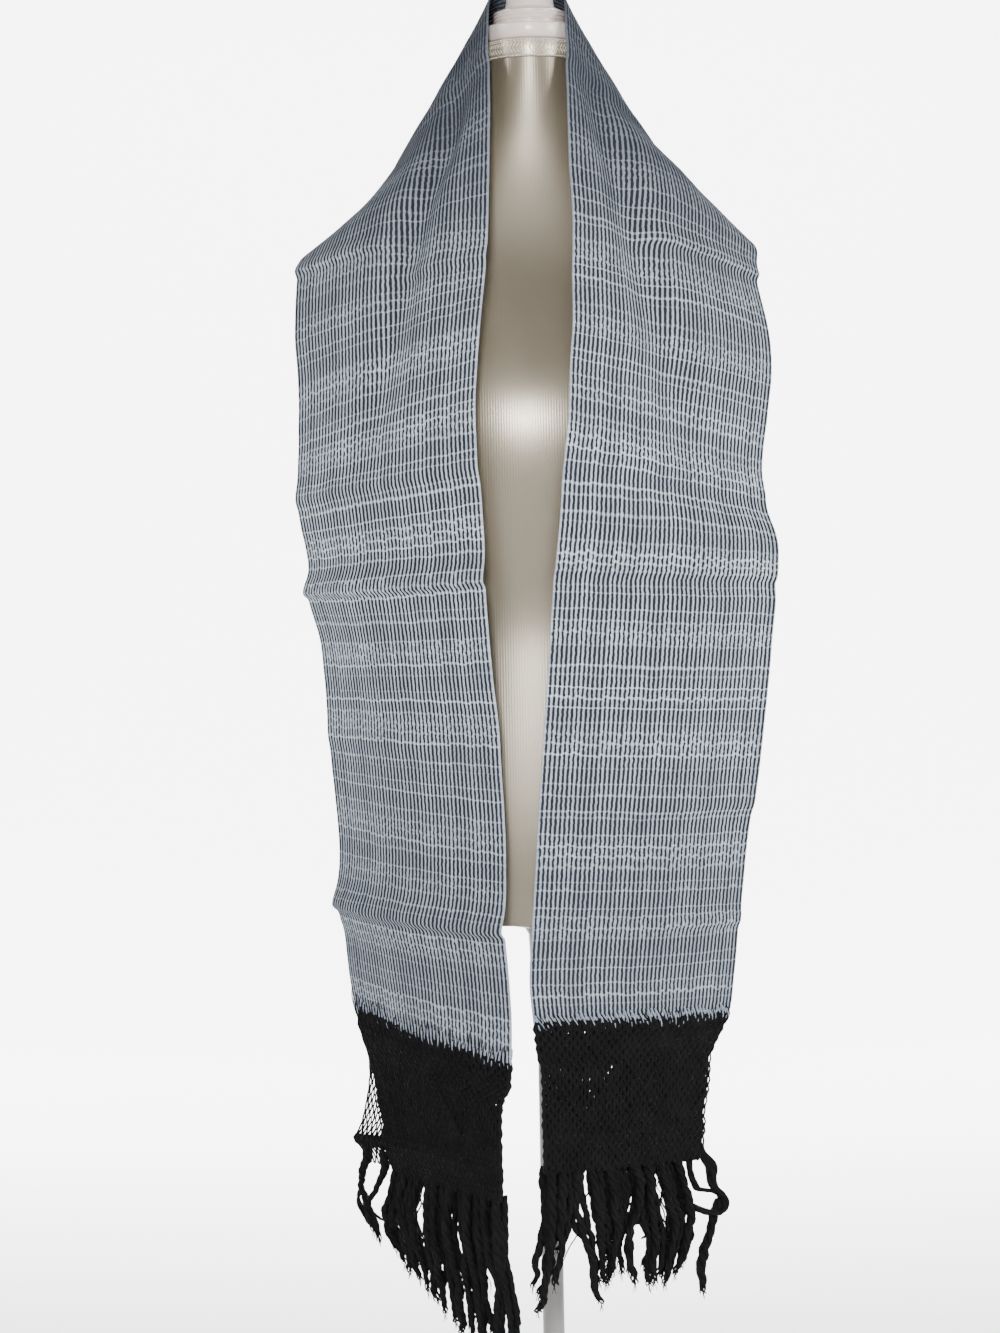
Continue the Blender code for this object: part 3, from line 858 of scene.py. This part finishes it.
# Each warp's dashes start a little early or late, most of all in the slips.
late = (luck - 0.5) * (slip * 2.6 + 0.9) + (drift - 0.5) * 5.0
beat = phase + late / dash
part_way = maths("FRACT", beat)
to_row = maths("MINIMUM", part_way, 1.0 - part_way) * dash
row_luck = chance(maths("ROUND", beat))
pale_row = fade(to_row, 1.25, 0.25) * (row_luck * 0.7 + 0.3)
# The pale warps weave to and fro a little, and swell into beads at the rows and all along the slips.
wobble = cloth_cloud(stripe * 0.6, along * 0.3)
sway = maths("SINE", beat * (2 * math.pi) + luck * 9.0) * slip * 0.05 + (wobble * 0.4 - 0.2)
off_centre = maths("ABSOLUTE", maths("FRACT", stripe + sway + 0.5) - 0.5)
beads = fade(cloth_cloud(warp * 7.3, along * 0.42), 0.46, 0.72) * slip
swell = pale_row * 0.135 + beads * 0.07 + (slip * 0.025 + (luck * 0.04 - 0.02))
pale_warp = fade(off_centre - swell, 0.258, 0.168)
pale = maths("MAXIMUM", pale_warp, pale_row * 0.27)
fibre = cloth_cloud(stripe * 5.0, along * 1.3, 3.0)
bright = luck * 0.16 + 0.31 + (fibre * 0.6 - 0.3)
bright = bright + maths("MAXIMUM", pale_row, beads) * 0.34 + (drift * 0.5 - 0.25)
# The pale yarn is dimmed towards the middle of the length, which lies round the nape, and towards the ends,
# and the pale warps are thinned towards the nape: painted shade, for the cloth lying in shade round the
# shoulders and near the ends.
from_nape = maths("ABSOLUTE", along)
bright = bright * (fade(from_nape, 130, 470) * 0.58 + 0.42) * (fade(from_nape, 830, 560) * 0.5 + 0.5)
pale = pale * (fade(from_nape, 60, 290) * 0.78 + 0.22)
pale_yarn = blend(bright, (0.2, 0.226, 0.274), (0.83, 0.92, 1.0))
navy_yarn = blend(fibre, (0.014, 0.0163, 0.023), (0.034, 0.039, 0.051))
feed(shader.inputs["Base Color"], blend(pale, navy_yarn, pale_yarn))
roughen(shader, pale_warp * 0.5 + pale_row * 0.4 + fibre * 0.35, 0.55, 0.0006)

cloth = finish_mesh("rebozo_cloth", woven, tie_dyed)
wall = cloth.modifiers.new("wall", "SOLIDIFY")
wall.thickness = CLOTH_THICK
wall.offset = -1
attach(cloth, "root")
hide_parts("cloth_front_left", "cloth_front_right", "cloth_neck")

# ---
# Net borders: below the weave the warps are dyed black and knotted by hand into a close net, with a
# denser band near its top and its foot and diamonds between. Both layers of the folded cloth have one.

NET_YARNS = 50            # across one layer
NET_PITCH = 0.0043        # from one row of knots to the next
NET_THICK = 0.0019
NET_OVERLAP = 0.0005      # how far the net runs up to the end of the weave
KNOT_SIZE = 0.0021
BACK_NET_DEPTH = 0.0042
LEFT_FOOT_SLANT = 0.021   # how much lower the net hangs at the fold on the left
BAND_PROUD, DIAMOND_PROUD, KNOT_PROUD = 0.0016, 0.0014, 0.0004

black_yarn, tree, shader = plain_material(
    "black_cotton_yarn", (0.004, 0.004, 0.0045), 0.82, {"Specular IOR Level": 0.12})
where = pattern(tree, "TexCoord", "Object")
black_tone = blend(cloud(where, 60), (0.0022, 0.0022, 0.0026), (0.0085, 0.0083, 0.0088))
feed(shader.inputs["Base Color"], black_tone)
roughen(shader, cloud(where, 1900, 3.0), 0.6, 0.0005)


def eased(value, start, end):
    share = held((value - start) / (end - start))
    return share * share * (3 - 2 * share)


def diamond(share, across):
    """How near this place is to the line of a diamond, 0 to 1, and whether it is an open middle."""
    down = (share - 0.46) / 0.2
    if abs(down) > 1.15:
        return 0.0, False
    aside = abs(((across - 0.12) / 0.22) % 1.0 - 0.5) * 2
    from_line = abs(abs(down) + aside - 1.0)
    return max(0.0, 1 - from_line / 0.22), abs(down) < 0.42 and aside < 0.3


def net_layer(name, half, depth, rim, open_side, chance_of_gap, foot_slant=0.0, closeness=1.0):
    """One layer of net: yarns that meet their neighbours to left and right by turns, and their knots."""
    draws = random.Random(name)
    top, foot = half["ends"][0] - NET_OVERLAP, half["ends"][1] + 0.002
    rows = round((foot - top) / NET_PITCH)
    yarns = [[] for _ in range(NET_YARNS)]
    knots = bmesh.new()
    for row in range(rows + 1):
        at = top + (foot - top) * row / rows
        share = (at - half["ends"][0]) / (half["ends"][1] - half["ends"][0])
        here = station(half, at)
        fold_edge = 0.022 * eased(share, 0.22, 0.32) - 0.008
        band = eased(share, 0.06, 0.12) - eased(share, 0.24, 0.3) + eased(share, 0.72, 0.76) - eased(
            share, 0.84, 0.88)
        for k in range(NET_YARNS):
            meeting = (k + row) % 2
            column = k + (0.19 if meeting == 0 else -0.19) + (0.5 if depth else 0.0)
            across = fold_edge + (rim(share) - fold_edge) * held((column + 0.5) / NET_YARNS)
            across += draws.uniform(-0.0016, 0.0016)
            line, hollow = diamond(share, across)
            proud = BAND_PROUD * band + DIAMOND_PROUD * line * (1 - open_side(share, across))
            out = relief(half, half["ends"][0], across) * 0.4 - depth + proud
            point = on_section(here, across, out)
            point.z -= foot_slant * share * max(0.0, 1 - across / 0.8)
            thin = (1 - 0.6 * open_side(share, across)) * closeness * (0.8 if hollow else 1)
            thick = thin * (1 + 0.14 * band) * draws.uniform(0.9, 1.08)
            gap = draws.random() < chance_of_gap
            last = k == NET_YARNS - 1
            skipped = gap and not last
            yarns[k].append((point, thick * 0.6 if skipped else thick))
            if skipped or not (gap or (meeting == 0 and not last)):
                continue
            size = KNOT_SIZE * thin * (1 + 0.25 * band + 0.2 * line)
            knot = on_section(here, across + 0.1 * rim(share) / NET_YARNS, out + KNOT_PROUD)
            knot.z = point.z
            bmesh.ops.create_icosphere(
                knots, subdivisions=1, radius=size,
                matrix=Matrix.Translation(knot) @ Matrix.Rotation(draws.uniform(0, 3), 4, "Z"))
    for vertical in yarns:
        for i in range(len(vertical) - 1, 0, -1):
            (a, thick_a), (b, thick_b) = vertical[i - 1], vertical[i]
            vertical.insert(i, ((a + b) / 2, (thick_a + thick_b) * 0.48))
    net = strands(name, yarns, NET_THICK, black_yarn)
    knots.from_mesh(net.data)
    knots.to_mesh(net.data)
    knots.free()
    net.data.shade_smooth()
    return net


def whole(share):
    return 1.0


def drawn_in(share):
    """The front layer on the left is pulled in, so the back layer shows beside it."""
    return 1.0 - 0.27 * eased(share, 0.05, 0.95)


def closed_net(share, across):
    return 0.0


def open_at_edge(share, across):
    return eased(across, 0.955, 0.985) * eased(share, 0.15, 0.3)


def lattice_at_edge(share, across):
    return eased(across, 0.64, 0.7) * eased(share, 0.3, 0.4) * (
        1 - eased(share, 0.78, 0.8) + eased(share, 0.88, 0.9))


left, right = halves["left"], halves["right"]
net_left_front = net_layer("net_left_front", left, 0.0, drawn_in, closed_net, 0.012, LEFT_FOOT_SLANT)
net_layer(
    "net_left_back", left, BACK_NET_DEPTH, whole, lattice_at_edge, 0.0, LEFT_FOOT_SLANT)
net_right_front = net_layer("net_right_front", right, 0.0, whole, open_at_edge, 0.012, closeness=1.07)
net_layer(
    "net_right_back", right, BACK_NET_DEPTH, whole, open_at_edge, 0.015, closeness=1.07)
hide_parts("border_left")
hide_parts("border_right")

# ---
# Warp tips: where the weave stops, the pale warps run on for a few millimetres over the black ones
# and are caught under the first knots. They lean one way on the right and both ways on the left.

TIP_THICK = 0.0009
TIP_STEPS = 5
pale_tip, tree, shader = plain_material(
    "pale_cotton_yarn", (0.55, 0.62, 0.72), 0.88, {"Specular IOR Level": 0.14})
fluff = cloud(pattern(tree, "TexCoord", "Object"), 1500, 3.0)
feed(shader.inputs["Base Color"], blend(fluff, (0.1, 0.125, 0.17), (0.5, 0.56, 0.66)))

for side, lean, spread in (("left", 0.1, 1.3), ("right", 1.9, 0.3)):
    half = halves[side]
    end = half["ends"][0]
    for kind, finish, offset, top_share, foot_share in (
        ("pale", pale_tip, 0.0, 1.0, 0.25), ("black", black_yarn, 0.5, 0.25, 1.15),
    ):
        draws = random.Random(side + kind)
        paths = []
        for layer_depth in (0.0, BACK_NET_DEPTH):
            for k in range(NET_YARNS):
                start = (k + 0.4 + offset) / NET_YARNS
                above, below = draws.uniform(0.004, 0.011), draws.uniform(0.003, 0.009)
                if side == "left" and kind == "black":
                    above += draws.choice((0.0, 0.002, 0.004, 0.007))
                aside = (lean + draws.uniform(-spread, spread)) / NET_YARNS
                path = []
                for step in range(TIP_STEPS + 1):
                    share = step / TIP_STEPS
                    at = end - above + (above + below) * share
                    across = min(0.995, max(0.005, start + aside * (share - 0.4)))
                    lift = 0.0003 + 0.0008 * math.sin(math.pi * share) + draws.uniform(0, 0.0003)
                    out = relief(half, min(at, end), across) * (1 - 0.6 * max(0.0, (at - end) / below))
                    out += lift if layer_depth == 0 else -layer_depth - lift
                    body = top_share + (foot_share - top_share) * share
                    path.append((on_section(station(half, at), across, out), body))
                paths.append(path)
        tips = strands(f"{kind}_tips_{side}", paths, TIP_THICK, finish)

# ---
# Fringe: under the net the yarns are left loose and have twisted themselves into tassels of two or
# three. They hang unevenly, some drawn together or looped, with worn and fluffy ends.

TASSEL_STEPS = 30
TWIST_LENGTH = 0.024      # along the tassel, for one turn of its yarns
THREE_YARNS, ONE_YARN = 0.005, 0.003  # thicker than the first has three yarns, thinner than the second one
MAIN_TASSELS = 15         # the first rows of each table, in order from the fold
HIDDEN_TASSELS, STRAY_YARNS = 20, 16

# Each tassel's thickness, and places down it as (share of the width from the fold, distance below the
# net).
LEFT_TASSELS = (
    (0.0078, ((0.05, 0), (0.085, 0.05), (0.051, 0.1), (0.048, 0.139))),
    (0.007, ((0.07, 0), (0.062, 0.045), (0.107, 0.095), (0.096, 0.135))),
    (0.0082, ((0.12, 0), (0.138, 0.04), (0.114, 0.09), (0.168, 0.138))),
    (0.0074, ((0.17, 0), (0.185, 0.05), (0.217, 0.095), (0.196, 0.136))),
    (0.008, ((0.22, 0), (0.252, 0.045), (0.234, 0.09), (0.254, 0.132))),
    (0.007, ((0.27, 0), (0.278, 0.04), (0.307, 0.08), (0.302, 0.13))),
    (0.0082, ((0.32, 0), (0.365, 0.05), (0.354, 0.09), (0.359, 0.126))),
    (0.0076, ((0.37, 0), (0.392, 0.045), (0.42, 0.085), (0.414, 0.119))),
    (0.0074, ((0.42, 0), (0.448, 0.04), (0.477, 0.08), (0.47, 0.113))),
    (0.008, ((0.47, 0), (0.481, 0.03), (0.53, 0.07), (0.526, 0.107))),
    (0.0072, ((0.51, 0), (0.595, 0.035), (0.59, 0.07), (0.582, 0.101))),
    (0.008, ((0.56, 0), (0.635, 0.035), (0.646, 0.065), (0.639, 0.097))),
    (0.0072, ((0.61, 0), (0.665, 0.035), (0.672, 0.06), (0.697, 0.094))),
    (0.0078, ((0.66, 0), (0.728, 0.04), (0.784, 0.062), (0.743, 0.089))),
    (0.0064, ((0.7, 0), (0.741, 0.03), (0.799, 0.055), (0.775, 0.078))),
    (0.0072, ((0.92, -0.01), (0.998, 0.012), (0.991, 0.03), (0.923, 0.046), (0.927, 0.08))),
    (0.0068, ((0.78, -0.01), (0.808, 0.012), (0.861, 0.03), (0.933, 0.046), (0.928, 0.068))),
    (0.0042, ((0.99, 0.028), (1.012, 0.045), (0.984, 0.062), (0.928, 0.068), (0.932, 0.074))),
    (0.0034, ((0.91, 0.043), (0.877, 0.052), (0.808, 0.054), (0.775, 0.05))),
)
RIGHT_TASSELS = (
    (0.0082, ((0.048, 0), (0.068, 0.04), (0.057, 0.08), (0.03, 0.108))),
    (0.0076, ((0.07, 0), (0.046, 0.035), (0.072, 0.07), (0.045, 0.098))),
    (0.0078, ((0.12, 0), (0.104, 0.03), (0.117, 0.06), (0.099, 0.086))),
    (0.0066, ((0.16, 0), (0.151, 0.025), (0.143, 0.05), (0.123, 0.073))),
    (0.0078, ((0.2, 0), (0.194, 0.03), (0.282, 0.07), (0.369, 0.107))),
    (0.006, ((0.22, 0), (0.224, 0.03), (0.3, 0.065), (0.342, 0.092))),
    (0.0082, ((0.27, 0), (0.318, 0.04), (0.34, 0.065), (0.381, 0.09))),
    (0.008, ((0.32, 0), (0.346, 0.035), (0.388, 0.06), (0.41, 0.088))),
    (0.0078, ((0.37, 0), (0.404, 0.03), (0.417, 0.058), (0.419, 0.085))),
    (0.0066, ((0.41, 0), (0.444, 0.03), (0.444, 0.052), (0.443, 0.072))),
    (0.008, ((0.52, 0), (0.551, 0.025), (0.497, 0.06), (0.542, 0.092))),
    (0.0076, ((0.56, 0), (0.576, 0.035), (0.632, 0.07), (0.634, 0.096))),
    (0.0082, ((0.61, 0), (0.626, 0.035), (0.65, 0.065), (0.673, 0.094))),
    (0.0062, ((0.65, 0), (0.644, 0.03), (0.708, 0.06), (0.701, 0.09))),
    (0.0074, ((0.68, 0), (0.724, 0.03), (0.768, 0.062), (0.744, 0.096))),
    (0.007, ((0.73, 0), (0.764, 0.03), (0.818, 0.06), (0.763, 0.094))),
    (0.0076, ((0.8, 0), (0.834, 0.03), (0.867, 0.058), (0.791, 0.09))),
    (0.0062, ((0.9, 0), (0.895, 0.02), (0.925, 0.03), (1.03, 0.034), (1.09, 0.042))),
    (0.009, ((0.97, -0.002), (1.035, 0.015), (1.03, 0.03), (1.105, 0.042), (1.06, 0.051), (0.93, 0.045),
              (0.83, 0.037))),
    (0.0092, ((1.08, 0.044), (1.02, 0.066), (0.98, 0.088), (1.01, 0.114))),
    (0.003, ((0.496, 0.036), (0.543, 0.05), (0.582, 0.048), (0.624, 0.052))),
    (0.003, ((0.579, 0.064), (0.657, 0.06), (0.73, 0.066), (0.769, 0.064))),
)


def along_points(points, share):
    """A smooth way through given points."""
    last = len(points) - 1
    i = min(int(share * last), last - 1)
    near = (Vector((*points[max(0, min(last, k))], 0)) for k in range(i - 1, i + 3))
    return through(*near, share * last - i)


def tassel(half, points, thick, depth, draws, foot_slant):
    """The yarns of one tassel, twisted about each other and spread a little at the tip."""
    end = half["ends"][1]
    last = half["rows"][-1]["at"]
    length = points[-1][1] - points[0][1]
    yarns_here = 3 if thick > THREE_YARNS else 1 if thick < ONE_YARN else 2
    turn_start = draws.uniform(0, 6)
    bow = draws.uniform(-0.002, 0.002)
    middle_line = []
    for step in range(TASSEL_STEPS + 1):
        share = step / TASSEL_STEPS
        across, drop, _ = along_points(points, share)
        drop += (foot_slant * max(0.0, 1 - points[0][0] / 0.8) - 0.003) * (1 - share)
        across += 0.026 * noise.noise(Vector((share * 6.5, turn_start * 3, 0))) * eased(share, 0.0, 0.3)
        across = max(across, 0.03 - 0.06 * eased(share, 0.5, 1.0))
        at = min(end + drop, last)
        place_there = on_section(station(half, at), across, -depth + bow * math.sin(math.pi * share))
        place_there.z -= max(0.0, end + drop - last)
        middle_line.append(place_there)
    found = []
    for k in range(yarns_here):
        path = []
        for step, centre in enumerate(middle_line):
            share = step / TASSEL_STEPS
            turn = turn_start + 2 * math.pi * (k / yarns_here + share * length / TWIST_LENGTH)
            body = (1.12 - 0.42 * share) * (1 + 0.14 * math.sin(9 * share + turn_start))
            body *= 0.6 + 0.4 * eased(share, 0.0, 0.14)
            apart = 0.25 * thick * body if yarns_here > 1 else 0
            apart *= 1 + 0.9 * eased(share, 0.86, 1.0)
            radius = 0.29 * thick * body if yarns_here > 1 else 0.5 * thick
            radius *= 1 - 0.72 * eased(share, 0.8 + 0.05 * k, 1.0)
            fuzz = 0.0003 * noise.noise(centre * 400 + Vector((k, 0, 0)))
            offset = Vector((math.cos(turn) * apart + fuzz, math.sin(turn) * apart, fuzz))
            path.append((centre + offset, radius * 1000))
        found.append(path)
    for _ in range(4 if thick > THREE_YARNS else 1):
        tip = middle_line[-1] + Vector((draws.uniform(-0.001, 0.001), draws.uniform(-0.001, 0.001), 0))
        aside = Vector((draws.uniform(-0.35, 0.35), draws.uniform(-0.2, 0.2), -1))
        aside *= draws.uniform(0.003, 0.007)
        start = middle_line[-4]
        found.append([(start, 0.5), (start.lerp(tip, 0.7), 0.42), (tip, 0.34), (tip + aside, 0.14)])
    return found


for side, table in (("left", LEFT_TASSELS), ("right", RIGHT_TASSELS)):
    half = halves[side]
    foot_slant = LEFT_FOOT_SLANT if side == "left" else 0.0
    draws = random.Random(side + " tassels")
    paths = []
    for i, (thick, points) in enumerate(table):
        paths += tassel(half, points, thick, (0.0006, 0.003)[i % 2], draws, foot_slant)
    for k in range(HIDDEN_TASSELS):
        across = (k + 0.5) / HIDDEN_TASSELS * (0.72 if side == "left" else 0.84)
        front = min(table[:MAIN_TASSELS], key=lambda row: abs(row[1][0][0] - across))
        reach = front[1][-1][1] * draws.uniform(0.8, 0.97)
        ways = [(across, 0.0)]
        for share in (0.4, 0.75, 1.0):
            leaning = along_points(front[1], share)[0] - front[1][0][0]
            ways.append((across + leaning + draws.uniform(-0.012, 0.012), reach * share))
        paths += tassel(half, ways, draws.uniform(0.006, 0.0076), 0.0075, draws, foot_slant)
    for _ in range(STRAY_YARNS):
        across = draws.uniform(0.03, 0.7 if side == "left" else 0.82)
        reach = draws.uniform(0.03, 0.085)
        ways = [(across, 0.0)] + [
            (across + draws.uniform(-0.05, 0.05), reach * share) for share in (0.33, 0.66, 1.0)]
        thick, depth = draws.uniform(0.001, 0.0016), draws.uniform(0.0, 0.006)
        paths += tassel(half, ways, thick, depth, draws, foot_slant)
    tassels = strands("tassels_" + side, paths, 0.001, black_yarn)
    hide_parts("fringe_" + side)

left_places[-1] + right_places[-1]
